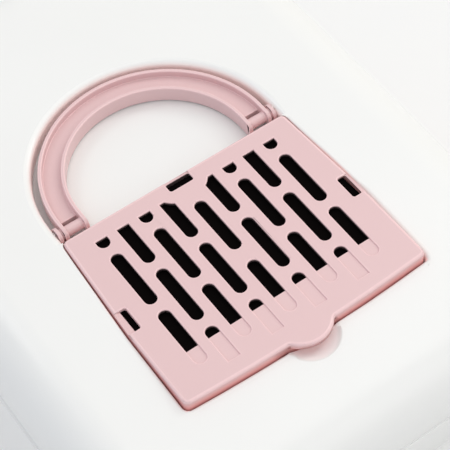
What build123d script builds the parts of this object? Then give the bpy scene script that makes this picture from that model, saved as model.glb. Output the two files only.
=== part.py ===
from build123d import *
from math import atan2, degrees
import os

os.makedirs("parts", exist_ok=True)

# Frame: millimetres, origin on the floor under the middle, door towards -Y, +Z up.

# Fits shared by the pieces
WALL = 2.6
RUNNING_GAP = 0.3
PIN_CLEARANCE = 0.05
CUT_OVERRUN = 1.0

# Hood walls: plan at the step line under the shoulders, and how far the flange stands outside it
STEP_WIDTH = 311.0
STEP_LENGTH = 413.0
STEP_CORNER = 60.0
WALL_SPREAD = 26.5

# Roof above the step line: flat behind the vent cover, then falling to the front and to the back
HOOD_TOP = 400.0
STEP_DROP = 39.0
STEP_SETBACK = 1.5
SHOULDER_RADIUS = 32.0
ROOF_FLAT_FRONT = -5.0
ROOF_FLAT_REAR = 100.0
ROOF_FRONT_RADIUS = 1780.0
ROOF_REAR_RADIUS = 596.0
ROOF_FALL = 4.6
ROOF_END_REACH = 62.0

# Flats that stand for the rounds inside the shell, of the slot ends and of the pins
ROUND_SIDES = 12
SHOULDER_FLAT_SHARE = 0.75

# Rim flange, skirt and lip, where the hood stands in the tray
TRAY_HEIGHT = 122.0
FLANGE_REACH = 12.0
SKIRT_DEPTH = 10.0
SKIRT_GAP = 1.0
COLLAR_HEIGHT = 14.0
LIP_HEIGHT = 12.0
LIP_WALL = 2.4

# Tray
FOOT_INSET = 20.6
FOOT_RING = 14.0
FOOT_RECESS = 2.5
FLOOR_RIB_WIDTH = 3.0
FLOOR_RIB_COUNT = 4

# Vent cover
COVER_FRONT_Y = -136.5
COVER_LENGTH = 133.0
COVER_FRONT_WIDTH = 166.8
COVER_BACK_WIDTH = 158.8
COVER_STRAIGHT = 57.0
COVER_WAIST_ROUND = 300.0
COVER_BOW = 2.8
COVER_CORNER = 3.5
COVER_PROUD = 1.0
COVER_HEIGHT = 12.0
COVER_PLATE = 2.4
COVER_SIDE = 1.8
COVER_EDGE_BEVEL = 1.0
COVER_GAP = 0.8
TAB_RADIUS = 19.0
TAB_REACH = 10.5
TAB_THICKNESS = 4.2
TAB_ROOT_ROUND = 3.5

# Slots in the vent cover
SLOT_PITCH = 15.0
SLOT_WIDTH = 8.0
SLOT_LENGTH = 42.0
SLOT_GAP = 7.0
SLOT_COLUMNS = 9
SLOT_ROWS = 3
CENTRE_SPREAD = 2.1
PATTERN_OFFSET = 62.0
VENT_START = 27.9
VENT_LENGTH = 93.3
BLIND_START = 8.8
BLIND_DEPTH = 1.0
LATCH_GUARD_RADIUS = 19.7

# Windows and filter ledges of the vent cover
WINDOW_LENGTH = 16.7
WINDOW_REACH = 6.3
WINDOW_CORNER = 1.5
WINDOW_OFFSET = 64.7
WINDOW_RIM_DROP = 1.0
LEDGE_REACH = 5.0
LEDGE_THICKNESS = 1.6
GUSSET_REACH = 2.4
GUSSET_HEIGHT = 5.0

# Filter pad
PAD_THICKNESS = 5.4
PAD_GAP = 0.4

# Finger dimple in front of the tab
DIMPLE_RADIUS = 18.0
DIMPLE_DEPTH = 5.5
DIMPLE_BACKSET = 2.5

# Air grid under the filter
GRID_RIB = 3.0

# Carry handle
HANDLE_RADIUS = 74.5
HANDLE_BAND = 16.5
HANDLE_RIM = 2.5
HANDLE_HEIGHT = 11.0
HANDLE_OUTER_HEIGHT = 9.0
HANDLE_CHANNEL = 4.8
HANDLE_LEG = 5.2
HANDLE_SWING_GAP = 0.5
CROSS_BAR_RADIUS = 3.5
WEB_SETBACK = 6.5
EAR_DISC_THICKNESS = 2.4
HANDLE_STUB_RADIUS = 2.5
STUB_TIP_GAP = 0.4

# Handle pocket
POCKET_GAP = 4.2
POCKET_CLEARANCE = 1.0
POCKET_EDGE_BEVEL = 2.6
RIDGE_HEIGHT = 5.3

# Doorway with its sleeve, and the hollow brow round it
DOOR_WIDTH = 222.0
DOOR_HEIGHT = 180.0
DOOR_RISE = 8.0
DOOR_CORNER = 24.0
DOOR_TOP_CORNER = 9.0
SLEEVE_DEPTH = 32.0
SLEEVE_PROUD = 3.0
BROW_RISE = 20.0
BROW_SIDE = 10.0
BROW_CORNER = 36.0
BROW_DEPTH = 40.0
BROW_BEVEL = 6.0

# Door flap
FLAP_GAP = 1.5
FLAP_SILL_GAP = 2.5
FLAP_AXIS_DROP = 12.0
FLAP_INSET = 22.0
FLAP_THICKNESS = 2.2
FLAP_BARREL_RADIUS = 4.0
FLAP_STUB_RADIUS = 2.5
FLAP_BORDER = 9.0
FLAP_BORDER_RISE = 1.2

# Side clips and the ears that carry them
CLIP_SPREAD = 220.0
CLIP_WIDTH = 40.0
CLIP_AXIS_RISE = 9.4
CLIP_AXIS_OUT = 0.5
CLIP_BARREL_RADIUS = 4.0
CLIP_PIN_RADIUS = 2.0
CLIP_WALL = 2.6
CLIP_STANDOFF = 2.0
CLIP_HOOK_INSET = 5.5
CLIP_HOOK_THICKNESS = 3.0
CLIP_GRIP_LENGTH = 11.0
CLIP_GRIP_FLARE = 5.0
EAR_THICKNESS = 3.2
EAR_RADIUS = 5.0
EAR_BASE = 14.0

# Plan sizes
BODY_WIDTH = STEP_WIDTH + 2 * WALL_SPREAD
BODY_LENGTH = STEP_LENGTH + 2 * WALL_SPREAD
BODY_CORNER = STEP_CORNER + WALL_SPREAD
TRAY_FIT = SKIRT_GAP + WALL
FOOT_GROW = TRAY_FIT - FOOT_INSET
FOOT_WIDTH = BODY_WIDTH + 2 * FOOT_GROW
FOOT_LENGTH = BODY_LENGTH + 2 * FOOT_GROW

# Heights
STEP_HEIGHT = HOOD_TOP - STEP_DROP
DOME_DEPTH = 2 * STEP_DROP
COVER_TOP = HOOD_TOP + COVER_PROUD
COVER_BOTTOM = COVER_TOP - COVER_HEIGHT
PLATE_BOTTOM = COVER_TOP - COVER_PLATE
SEAT_HEIGHT = COVER_BOTTOM - RUNNING_GAP
HANDLE_TOP = HOOD_TOP
HANDLE_BOTTOM = HANDLE_TOP - HANDLE_HEIGHT
POCKET_FLOOR = HANDLE_BOTTOM - POCKET_CLEARANCE
PIVOT_Z = HANDLE_TOP - HANDLE_HEIGHT / 2
DOOR_BOTTOM = TRAY_HEIGHT + DOOR_RISE
DOOR_TOP = DOOR_BOTTOM + DOOR_HEIGHT
FLAP_AXIS_Z = DOOR_TOP - FLAP_AXIS_DROP

# Places along the box
COVER_BACK_Y = COVER_FRONT_Y + COVER_LENGTH
VENT_FRONT_Y = COVER_FRONT_Y + VENT_START
VENT_MIDDLE_Y = VENT_FRONT_Y + VENT_LENGTH / 2
WINDOW_Y = COVER_FRONT_Y + WINDOW_OFFSET
PATTERN_Y = COVER_FRONT_Y + PATTERN_OFFSET
POCKET_FRONT_Y = COVER_BACK_Y + COVER_GAP + WALL
CHEEK_RADIUS = HANDLE_HEIGHT / 2
PIVOT_Y = POCKET_FRONT_Y + HANDLE_SWING_GAP + CHEEK_RADIUS
BEND_Y = PIVOT_Y + HANDLE_LEG
SLEEVE_FRONT = BODY_LENGTH / 2 + SLEEVE_PROUD
FLAP_AXIS_FRONT = SLEEVE_FRONT - FLAP_INSET

# Sizes of fitted features
HANDLE_INNER = HANDLE_RADIUS - HANDLE_BAND
POCKET_RADIUS = HANDLE_RADIUS + POCKET_GAP
SLOT_PERIOD = SLOT_LENGTH + SLOT_GAP
VENT_WIDTH = (SLOT_COLUMNS - 1) * SLOT_PITCH + SLOT_WIDTH
DIMPLE_SPHERE = (DIMPLE_RADIUS**2 + DIMPLE_DEPTH**2) / (2 * DIMPLE_DEPTH)


def rounded_box_outline(grow, mode=Mode.ADD):
    """Draw the plan outline of the hood walls at the flange, moved out by grow."""
    RectangleRounded(BODY_WIDTH + 2 * grow, BODY_LENGTH + 2 * grow, BODY_CORNER + grow, mode=mode)


def flat_cornered_outline(grow):
    """Return that outline moved out by grow, with flats whose ends lie on its round corners."""
    with BuildSketch() as outline:
        with GridLocations(BODY_WIDTH - 2 * BODY_CORNER, BODY_LENGTH - 2 * BODY_CORNER, 2, 2):
            RegularPolygon(BODY_CORNER + grow, ROUND_SIDES)
        make_hull()
    return outline.sketch


def draw_bore(pin_radius, mode=Mode.ADD):
    """Draw the bore of a pin, its flats outside the pin by the clearance."""
    RegularPolygon(pin_radius + PIN_CLEARANCE, ROUND_SIDES, major_radius=False, mode=mode)


def draw_roof_line(depth):
    """Draw the flat and the two arcs of the roof's long section, depth under the roof."""
    front_centre = (ROOF_FLAT_FRONT, HOOD_TOP - ROOF_FRONT_RADIUS)
    rear_centre = (ROOF_FLAT_REAR, HOOD_TOP - ROOF_REAR_RADIUS)
    front = CenterArc(front_centre, ROOF_FRONT_RADIUS - depth, 90, ROOF_FALL)
    rear = CenterArc(rear_centre, ROOF_REAR_RADIUS - depth, 90, -ROOF_FALL)
    Line(front @ 0, rear @ 0)
    return front, rear


def roof_end_plane(end, depth):
    """Return the plane that touches the end of the roof's arc; end is -1 at the front, 1 at the back."""
    flat_end = ROOF_FLAT_FRONT if end < 0 else ROOF_FLAT_REAR
    radius = ROOF_FRONT_RADIUS if end < 0 else ROOF_REAR_RADIUS
    arc_centre = Plane(origin=(0, flat_end, HOOD_TOP - radius))
    return arc_centre.rotated((-end * ROOF_FALL, 0, 0)).offset(radius - depth)


def wall_form(inset):
    """Solid inside the hood walls below the step line, moved in by inset."""
    wall_height = STEP_HEIGHT - TRAY_HEIGHT
    with BuildPart() as form:
        with BuildSketch(Plane.XY.offset(TRAY_HEIGHT)):
            if inset:
                add(flat_cornered_outline(-inset))
            else:
                rounded_box_outline(0)
        extrude(amount=wall_height, taper=degrees(atan2(WALL_SPREAD, wall_height)))
        with BuildSketch(Plane.YZ) as under_roof:
            with BuildLine() as border:
                front, rear = draw_roof_line(STEP_DROP + inset)
                front_end = front @ 1 + (front % 1) * STEP_LENGTH
                rear_end = rear @ 1 + (rear % 1) * STEP_LENGTH
                Polyline(front @ 1, front_end, (front_end.X, 0), (rear_end.X, 0), rear_end, rear @ 1)
            make_face(border.edges())
        extrude(under_roof.sketch, amount=BODY_WIDTH, both=True, mode=Mode.INTERSECT)
    return form.part


def soften_shoulders(edges, inset):
    """Round the shoulders of the outside form, or cut them flat on the hollow moved in by inset."""
    if inset:
        chamfer(edges, length=SHOULDER_FLAT_SHARE * (SHOULDER_RADIUS - inset))
    else:
        fillet(edges, radius=SHOULDER_RADIUS)


def dome_middle(inset):
    """Solid under the flat and the arcs of the roof, with its shoulders, moved in by inset."""
    with BuildPart() as form:
        with BuildSketch(Plane.YZ) as section:
            with BuildLine() as border:
                front, rear = draw_roof_line(inset)
                front_foot = roof_end_plane(-1, DOME_DEPTH).origin
                rear_foot = roof_end_plane(1, DOME_DEPTH).origin
                Polyline(front @ 1, (front_foot.Y, front_foot.Z), (rear_foot.Y, rear_foot.Z), rear @ 1)
            make_face(border.edges())
        extrude(section.sketch, amount=STEP_WIDTH / 2 - STEP_SETBACK - inset, both=True)
        by_side = form.edges().group_by(Axis.X)
        soften_shoulders(by_side[0].sort_by(Axis.Z)[-3:] + by_side[-1].sort_by(Axis.Z)[-3:], inset)
    return form.part


def dome_end(end, inset):
    """Solid under the roof's front (end -1) or back (end 1), with its shoulders, moved in by inset."""
    half_width = STEP_WIDTH / 2 - STEP_SETBACK - inset
    corner = STEP_CORNER - STEP_SETBACK - inset
    straight = ROOF_END_REACH - inset - corner
    roof_plane = roof_end_plane(end, inset)
    with BuildPart() as form:
        with BuildSketch(roof_plane):
            with Locations((0, end * (straight - corner) / 2)):
                Rectangle(2 * half_width, straight + corner)
            with Locations((corner - half_width, end * straight), (half_width - corner, end * straight)):
                if inset:
                    RegularPolygon(corner, ROUND_SIDES)
                else:
                    Circle(corner)
            make_hull()
        extrude(amount=inset - DOME_DEPTH)
        roof = form.faces().sort_by(Axis.Z)[-1]
        soften_shoulders(roof.edges().sort_by(Axis.Y, reverse=end > 0)[:-1], inset)
        split(bisect_by=Plane(roof_plane.origin, roof_plane.x_dir, end * roof_plane.y_dir))
    return form.part


def dome_form(inset):
    """Solid inside the roof and its shoulders, moved in by inset."""
    return dome_middle(inset) + dome_end(-1, inset) + dome_end(1, inset)


def draw_cover_outline(grow):
    """Draw the vent cover's outline, moved out by grow."""
    front_x = COVER_FRONT_WIDTH / 2 + grow
    back_x = COVER_BACK_WIDTH / 2 + grow
    front_y = COVER_FRONT_Y - grow
    back_y = COVER_BACK_Y + grow
    waist_y = COVER_FRONT_Y + COVER_STRAIGHT
    with BuildLine() as border:
        ThreePointArc((-front_x, front_y), (0, front_y - COVER_BOW), (front_x, front_y))
        Polyline((front_x, front_y), (front_x, waist_y), (back_x, back_y))
        Polyline((-front_x, front_y), (-front_x, waist_y), (-back_x, back_y))
        Line((-back_x, back_y), (back_x, back_y))
    outline = make_face(border.edges())
    rounded = fillet(outline.vertices().group_by(Axis.Y)[1], radius=COVER_WAIST_ROUND)
    corners = rounded.vertices().group_by(Axis.Y)
    fillet(corners[0] + corners[-1], radius=COVER_CORNER + grow)


def draw_bow(radius, end_y, mode=Mode.ADD):
    """Draw a D shape that is round at the back and straight down to end_y."""
    with BuildLine() as border:
        Polyline((-radius, BEND_Y), (-radius, end_y), (radius, end_y), (radius, BEND_Y))
        ThreePointArc((radius, BEND_Y), (0, BEND_Y + radius), (-radius, BEND_Y))
    make_face(border.edges(), mode=mode)


def draw_door_outline(grow):
    """Draw the doorway's outline in the XZ plane, moved out by grow."""
    with Locations((0, DOOR_BOTTOM + DOOR_HEIGHT / 2)):
        opening = Rectangle(DOOR_WIDTH + 2 * grow, DOOR_HEIGHT + 2 * grow)
    corners = opening.vertices().group_by(Axis.Y)
    fillet(corners[0], radius=DOOR_CORNER + grow)
    fillet(corners[-1], radius=DOOR_TOP_CORNER + grow)


def brow_form(inset):
    """Solid inside the brow round the doorway, moved in by inset."""
    with BuildPart() as form:
        with BuildSketch(Plane.XZ.offset(SLEEVE_FRONT - inset)):
            with Locations((0, TRAY_HEIGHT)):
                front = Rectangle(
                    DOOR_WIDTH + 2 * (BROW_SIDE - inset),
                    DOOR_TOP + BROW_RISE - inset - TRAY_HEIGHT,
                    align=(Align.CENTER, Align.MIN),
                )
            fillet(front.vertices().group_by(Axis.Y)[-1], radius=BROW_CORNER - inset)
        extrude(amount=inset - BROW_DEPTH)
        chamfer(form.faces().sort_by(Axis.Y)[0].edges().sort_by(Axis.Z)[1:], length=BROW_BEVEL)
    return form.part


def slot_places():
    """Return the middle of every slot of the staggered pattern, cut ones included."""
    places = []
    for column in range(SLOT_COLUMNS):
        from_middle = column - SLOT_COLUMNS // 2
        stagger = 0 if from_middle % 2 else SLOT_PERIOD / 2
        for row in range(SLOT_ROWS):
            y = PATTERN_Y + (row - SLOT_ROWS // 2) * SLOT_PERIOD + stagger
            if from_middle == 0:
                y += CENTRE_SPREAD if y > PATTERN_Y else -CENTRE_SPREAD
            places.append((from_middle * SLOT_PITCH, y))
    return places


def draw_slots():
    """Draw every slot of the pattern, round at both ends."""
    end_centre = (SLOT_LENGTH - SLOT_WIDTH) / 2
    with BuildSketch(mode=Mode.PRIVATE) as slot:
        with Locations((0, -end_centre), (0, end_centre)):
            RegularPolygon(SLOT_WIDTH / 2, ROUND_SIDES)
        make_hull()
    with Locations(*slot_places()):
        add(slot.sketch)


# Tray
tray_collar_height = TRAY_HEIGHT - COLLAR_HEIGHT
tray_floor_height = FOOT_RECESS + WALL
tray_taper = degrees(atan2(FOOT_INSET, tray_collar_height))
with BuildPart() as base_tray:
    with BuildSketch(Plane.XY.offset(tray_collar_height)):
        rounded_box_outline(TRAY_FIT)
    extrude(amount=-tray_collar_height, taper=tray_taper)
    with BuildSketch(Plane.XY.offset(tray_collar_height)):
        rounded_box_outline(TRAY_FIT)
    extrude(amount=COLLAR_HEIGHT)
    with BuildSketch(Plane.XY.offset(TRAY_HEIGHT)):
        rounded_box_outline(FLANGE_REACH)
    extrude(amount=-WALL)
    with BuildSketch(Plane.XY.offset(TRAY_HEIGHT)):
        rounded_box_outline(FLANGE_REACH)
        rounded_box_outline(FLANGE_REACH - LIP_WALL, Mode.SUBTRACT)
    extrude(amount=-LIP_HEIGHT)
    with BuildSketch(Plane((0, 0, tray_collar_height), z_dir=(0, 0, -1))):
        add(flat_cornered_outline(SKIRT_GAP))
    extrude(amount=tray_collar_height - tray_floor_height, taper=tray_taper, mode=Mode.SUBTRACT)
    with BuildSketch(Plane.XY.offset(tray_collar_height)):
        rounded_box_outline(SKIRT_GAP)
    extrude(amount=COLLAR_HEIGHT, mode=Mode.SUBTRACT)
    with BuildSketch():
        add(flat_cornered_outline(FOOT_GROW - FOOT_RING))
        with GridLocations(0, FOOT_LENGTH / (FLOOR_RIB_COUNT + 1), 1, FLOOR_RIB_COUNT):
            Rectangle(FOOT_WIDTH, FLOOR_RIB_WIDTH, mode=Mode.SUBTRACT)
    extrude(amount=FOOT_RECESS, mode=Mode.SUBTRACT)

# Hood shell: the outside form less a hollow that leaves walls round pocket, seat and dimple
outside = wall_form(0) + dome_form(0)
inside = wall_form(WALL) + dome_form(WALL)
dimple_y = COVER_FRONT_Y - DIMPLE_BACKSET
dimple_roof_z = HOOD_TOP - (ROOF_FLAT_FRONT - dimple_y) ** 2 / (2 * ROOF_FRONT_RADIUS)
dimple_centre_z = dimple_roof_z + DIMPLE_SPHERE - DIMPLE_DEPTH
with BuildPart() as hollow:
    add(inside)
    with BuildSketch(Plane.XY.offset(POCKET_FLOOR - WALL)):
        draw_bow(POCKET_RADIUS + WALL, POCKET_FRONT_Y - WALL)
    extrude(amount=HANDLE_HEIGHT + POCKET_CLEARANCE + WALL + COVER_PROUD, mode=Mode.SUBTRACT)
    with BuildSketch(Plane.XY.offset(SEAT_HEIGHT - WALL)):
        draw_cover_outline(COVER_GAP + WALL)
    extrude(amount=COVER_HEIGHT + WALL + COVER_PROUD, mode=Mode.SUBTRACT)
    with BuildSketch(Plane.XY.offset(dimple_roof_z - DIMPLE_DEPTH - WALL)):
        with Locations((0, dimple_y)):
            RegularPolygon(DIMPLE_RADIUS + WALL, ROUND_SIDES)
    extrude(amount=DIMPLE_DEPTH + WALL, mode=Mode.SUBTRACT)

# Ears of the right-hand clips; the left ones mirror them
flange_x = BODY_WIDTH / 2 + FLANGE_REACH
clip_axis_x = flange_x + CLIP_AXIS_OUT
clip_axis_z = TRAY_HEIGHT + CLIP_AXIS_RISE
ear_offset = CLIP_WIDTH / 2 + RUNNING_GAP
with BuildPart() as clip_ears:
    for place in (-1, 1):
        for end in (-1, 1):
            ear_y = place * CLIP_SPREAD / 2 + end * ear_offset
            with BuildSketch(Plane.XZ.offset(-ear_y)):
                with Locations((clip_axis_x, clip_axis_z)):
                    RegularPolygon(EAR_RADIUS, ROUND_SIDES)
                with Locations((clip_axis_x + EAR_RADIUS, TRAY_HEIGHT)):
                    Rectangle(EAR_BASE, WALL, align=(Align.MAX, Align.MIN))
                make_hull()
                with Locations((clip_axis_x, clip_axis_z)):
                    draw_bore(CLIP_PIN_RADIUS, Mode.SUBTRACT)
            extrude(amount=-end * EAR_THICKNESS)

# Brow round the doorway, open at the back into the hood
with BuildPart() as brow:
    add(brow_form(0))
    add(brow_form(WALL), mode=Mode.SUBTRACT)
    add(wall_form(WALL), mode=Mode.SUBTRACT)

with BuildPart() as hood:
    add(outside)
    add(hollow.part, mode=Mode.SUBTRACT)
    add(brow_form(WALL), mode=Mode.SUBTRACT)
    add(brow.part)
    # Seat of the vent cover
    with BuildSketch(Plane.XY.offset(SEAT_HEIGHT)):
        draw_cover_outline(COVER_GAP)
    extrude(amount=COVER_HEIGHT + COVER_PROUD, mode=Mode.SUBTRACT)
    # Handle pocket and its lowered ridge behind the cover
    with BuildSketch(Plane.XY.offset(POCKET_FLOOR)):
        draw_bow(POCKET_RADIUS, POCKET_FRONT_Y)
    extrude(amount=HANDLE_HEIGHT + POCKET_CLEARANCE + CUT_OVERRUN, mode=Mode.SUBTRACT)
    with BuildSketch(Plane.XY.offset(SEAT_HEIGHT + RIDGE_HEIGHT)):
        draw_bow(POCKET_RADIUS, COVER_BACK_Y)
    extrude(amount=COVER_HEIGHT, mode=Mode.SUBTRACT)
    # Air grid in the seat
    with BuildSketch(Plane.XY.offset(SEAT_HEIGHT)):
        with Locations((0, VENT_MIDDLE_Y)):
            with GridLocations(SLOT_PITCH, VENT_LENGTH / 2, SLOT_COLUMNS, 2):
                Rectangle(SLOT_PITCH - GRID_RIB, VENT_LENGTH / 2 - GRID_RIB)
    extrude(amount=-2 * WALL, mode=Mode.SUBTRACT)
    # Finger dimple
    with Locations((0, dimple_y, dimple_centre_z)):
        Sphere(DIMPLE_SPHERE, mode=Mode.SUBTRACT)
    # Rim flange and the skirt that stands in the tray
    with BuildSketch(Plane.XY.offset(TRAY_HEIGHT)):
        rounded_box_outline(FLANGE_REACH)
        add(flat_cornered_outline(-WALL), mode=Mode.SUBTRACT)
    extrude(amount=WALL)
    with BuildSketch(Plane.XY.offset(TRAY_HEIGHT)):
        rounded_box_outline(0)
        add(flat_cornered_outline(-WALL), mode=Mode.SUBTRACT)
    extrude(amount=-SKIRT_DEPTH)
    # Bevelled upper edge of the pocket
    pocket_edges = hood.edges().filter_by_position(Axis.Z, HOOD_TOP, HOOD_TOP)
    pocket_edges = pocket_edges.filter_by_position(Axis.X, -POCKET_RADIUS - WALL, POCKET_RADIUS + WALL)
    pocket_edges = pocket_edges.filter_by_position(Axis.Y, POCKET_FRONT_Y, BEND_Y + POCKET_RADIUS + WALL)
    chamfer(pocket_edges, length=POCKET_EDGE_BEVEL)
    # Doorway sleeve
    with BuildSketch(Plane.XZ.offset(SLEEVE_FRONT)):
        draw_door_outline(WALL)
    extrude(amount=-SLEEVE_DEPTH)
    with BuildSketch(Plane.XZ.offset(SLEEVE_FRONT)):
        draw_door_outline(0)
    extrude(amount=-SLEEVE_DEPTH - CUT_OVERRUN, mode=Mode.SUBTRACT)
    # Bearings of the flap and of the handle
    with BuildSketch(Plane.YZ):
        with Locations((-FLAP_AXIS_FRONT, FLAP_AXIS_Z)):
            draw_bore(FLAP_STUB_RADIUS)
    extrude(amount=DOOR_WIDTH / 2 + 2 * WALL, both=True, mode=Mode.SUBTRACT)
    with BuildSketch(Plane.YZ):
        with Locations((PIVOT_Y, PIVOT_Z)):
            draw_bore(HANDLE_STUB_RADIUS)
    extrude(amount=POCKET_RADIUS + 2 * WALL, both=True, mode=Mode.SUBTRACT)
    # Ears that carry the side clips
    add(clip_ears.part)
    add(clip_ears.part.mirror(Plane.YZ))

# Carry handle: an open channel with a web, walls inside and outside and a hinge at each end
handle_end_y = PIVOT_Y - CHEEK_RADIUS
with BuildPart() as carry_handle:
    with BuildSketch(Plane.XY.offset(HANDLE_BOTTOM)):
        draw_bow(HANDLE_RADIUS, handle_end_y)
        draw_bow(HANDLE_INNER, handle_end_y, Mode.SUBTRACT)
    extrude(amount=HANDLE_HEIGHT)
    with BuildSketch(Plane.XY.offset(HANDLE_TOP)):
        draw_bow(HANDLE_RADIUS - HANDLE_RIM, handle_end_y)
        draw_bow(HANDLE_INNER + HANDLE_RIM, handle_end_y, Mode.SUBTRACT)
    extrude(amount=-HANDLE_CHANNEL, mode=Mode.SUBTRACT)
    # The web stops short of the cross bars
    with BuildSketch(Plane.XY.offset(HANDLE_BOTTOM)):
        draw_bow(HANDLE_RADIUS - HANDLE_RIM, handle_end_y)
        draw_bow(HANDLE_INNER + HANDLE_RIM, handle_end_y, Mode.SUBTRACT)
        with Locations((0, PIVOT_Y + WEB_SETBACK)):
            Rectangle(
                2 * HANDLE_RADIUS,
                2 * HANDLE_RADIUS,
                align=(Align.CENTER, Align.MAX),
                mode=Mode.INTERSECT,
            )
    extrude(amount=HANDLE_HEIGHT, mode=Mode.SUBTRACT)
    # The outer wall is shorter than the inner one
    with BuildSketch(Plane.XY.offset(HANDLE_BOTTOM)):
        draw_bow(HANDLE_RADIUS + CUT_OVERRUN, handle_end_y)
        draw_bow(HANDLE_RADIUS - HANDLE_RIM, handle_end_y, Mode.SUBTRACT)
    extrude(amount=HANDLE_HEIGHT - HANDLE_OUTER_HEIGHT, mode=Mode.SUBTRACT)
    # Round cheeks
    with BuildSketch(Plane.YZ):
        with Locations((PIVOT_Y, PIVOT_Z)):
            Rectangle(
                CHEEK_RADIUS + CUT_OVERRUN,
                HANDLE_HEIGHT + CUT_OVERRUN,
                align=(Align.MAX, Align.CENTER),
            )
            Circle(CHEEK_RADIUS, mode=Mode.SUBTRACT)
    extrude(amount=HANDLE_RADIUS + CUT_OVERRUN, both=True, mode=Mode.SUBTRACT)
    # Cross bar, ear disc and hinge stub at each end
    disc_face = POCKET_RADIUS - RUNNING_GAP
    bar_start = HANDLE_INNER + HANDLE_RIM / 2
    for side in (-1, 1):
        for start, end, radius in (
            (bar_start, disc_face, CROSS_BAR_RADIUS),
            (disc_face, POCKET_RADIUS + WALL - STUB_TIP_GAP, HANDLE_STUB_RADIUS),
        ):
            with BuildSketch(Plane.YZ.offset(side * start)):
                with Locations((PIVOT_Y, PIVOT_Z)):
                    RegularPolygon(radius, ROUND_SIDES)
            extrude(amount=side * (end - start))
        with BuildSketch(Plane.YZ.offset(side * disc_face)):
            with Locations((PIVOT_Y, PIVOT_Z)):
                Circle(CHEEK_RADIUS)
        extrude(amount=-side * EAR_DISC_THICKNESS)

# Vent cover
tab_y = COVER_FRONT_Y - TAB_REACH + TAB_RADIUS
narrowing = (COVER_FRONT_WIDTH - COVER_BACK_WIDTH) / 2
window_share = (WINDOW_OFFSET - COVER_STRAIGHT) / (COVER_LENGTH - COVER_STRAIGHT)
skirt_inner_x = COVER_FRONT_WIDTH / 2 - narrowing * window_share - COVER_SIDE
ledge_top = PLATE_BOTTOM - PAD_GAP - PAD_THICKNESS - RUNNING_GAP
with BuildPart() as vent_cover:
    with BuildSketch(Plane.XY.offset(COVER_BOTTOM)):
        draw_cover_outline(0)
    extrude(amount=COVER_HEIGHT - TAB_THICKNESS)
    with BuildSketch(Plane.XY.offset(COVER_TOP)) as top_layer:
        draw_cover_outline(0)
        with Locations((0, tab_y)):
            Circle(TAB_RADIUS)
        tab_roots = top_layer.vertices().filter_by_position(Axis.X, -TAB_RADIUS, TAB_RADIUS)
        fillet(tab_roots, radius=TAB_ROOT_ROUND)
    extrude(amount=-TAB_THICKNESS)
    chamfer(vent_cover.faces().sort_by(Axis.Z)[-1].edges(), length=COVER_EDGE_BEVEL)
    # Hollow underside with a cross wall in front of the filter
    with BuildSketch(Plane.XY.offset(COVER_BOTTOM)):
        draw_cover_outline(-COVER_SIDE)
    extrude(amount=COVER_HEIGHT - COVER_PLATE, mode=Mode.SUBTRACT)
    with BuildSketch(Plane.XY.offset(COVER_BOTTOM)):
        draw_cover_outline(-COVER_SIDE / 2)
        with Locations((0, VENT_FRONT_Y)):
            Rectangle(COVER_FRONT_WIDTH, COVER_SIDE, align=(Align.CENTER, Align.MAX), mode=Mode.INTERSECT)
    extrude(amount=COVER_HEIGHT - COVER_PLATE / 2)
    # Through slots, and blind ones in front of the cross wall
    with BuildSketch(Plane.XY.offset(COVER_TOP)):
        draw_slots()
        with Locations((0, VENT_MIDDLE_Y)):
            Rectangle(VENT_WIDTH, VENT_LENGTH, mode=Mode.INTERSECT)
        with Locations((0, COVER_BACK_Y)):
            Circle(LATCH_GUARD_RADIUS, mode=Mode.SUBTRACT)
    extrude(amount=-COVER_PLATE, mode=Mode.SUBTRACT)
    with BuildSketch(Plane.XY.offset(COVER_TOP)):
        draw_slots()
        with Locations((0, COVER_FRONT_Y + BLIND_START)):
            Rectangle(
                VENT_WIDTH,
                VENT_START - BLIND_START,
                align=(Align.CENTER, Align.MIN),
                mode=Mode.INTERSECT,
            )
    extrude(amount=-BLIND_DEPTH, mode=Mode.SUBTRACT)
    # Windows over the ledges that hold the filter, left, right and back
    window_places = (
        Location((-skirt_inner_x, WINDOW_Y), 0),
        Location((skirt_inner_x, WINDOW_Y), 180),
        Location((0, COVER_BACK_Y - COVER_SIDE), -90),
    )
    with BuildSketch(Plane.XY.offset(COVER_TOP)):
        with Locations(*window_places):
            RectangleRounded(WINDOW_REACH, WINDOW_LENGTH, WINDOW_CORNER, align=(Align.MIN, Align.CENTER))
    extrude(amount=-COVER_PLATE, mode=Mode.SUBTRACT)
    with BuildSketch(Plane.XY.offset(COVER_TOP)):
        with Locations(*window_places):
            Rectangle(2 * COVER_SIDE + WINDOW_CORNER, WINDOW_LENGTH, align=(Align.MAX, Align.CENTER))
            Rectangle(2 * WINDOW_CORNER, WINDOW_LENGTH, align=(Align.MIN, Align.CENTER))
    extrude(amount=-WINDOW_RIM_DROP, mode=Mode.SUBTRACT)
    with BuildSketch(Plane.XY.offset(ledge_top)):
        with Locations(*window_places):
            Rectangle(LEDGE_REACH, WINDOW_LENGTH, align=(Align.MIN, Align.CENTER))
            Rectangle(COVER_SIDE / 2, WINDOW_LENGTH, align=(Align.MAX, Align.CENTER))
    extrude(amount=-LEDGE_THICKNESS)
    # Sloping gusset of the left ledge
    with BuildSketch(Plane.XZ.offset(-WINDOW_Y)):
        with BuildLine():
            Polyline(
                (-skirt_inner_x - COVER_SIDE / 2, ledge_top),
                (-skirt_inner_x + GUSSET_REACH, ledge_top),
                (-skirt_inner_x - COVER_SIDE / 2, ledge_top + GUSSET_HEIGHT),
                close=True,
            )
        make_face()
    extrude(amount=WINDOW_LENGTH / 2 - WINDOW_CORNER, both=True)

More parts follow.
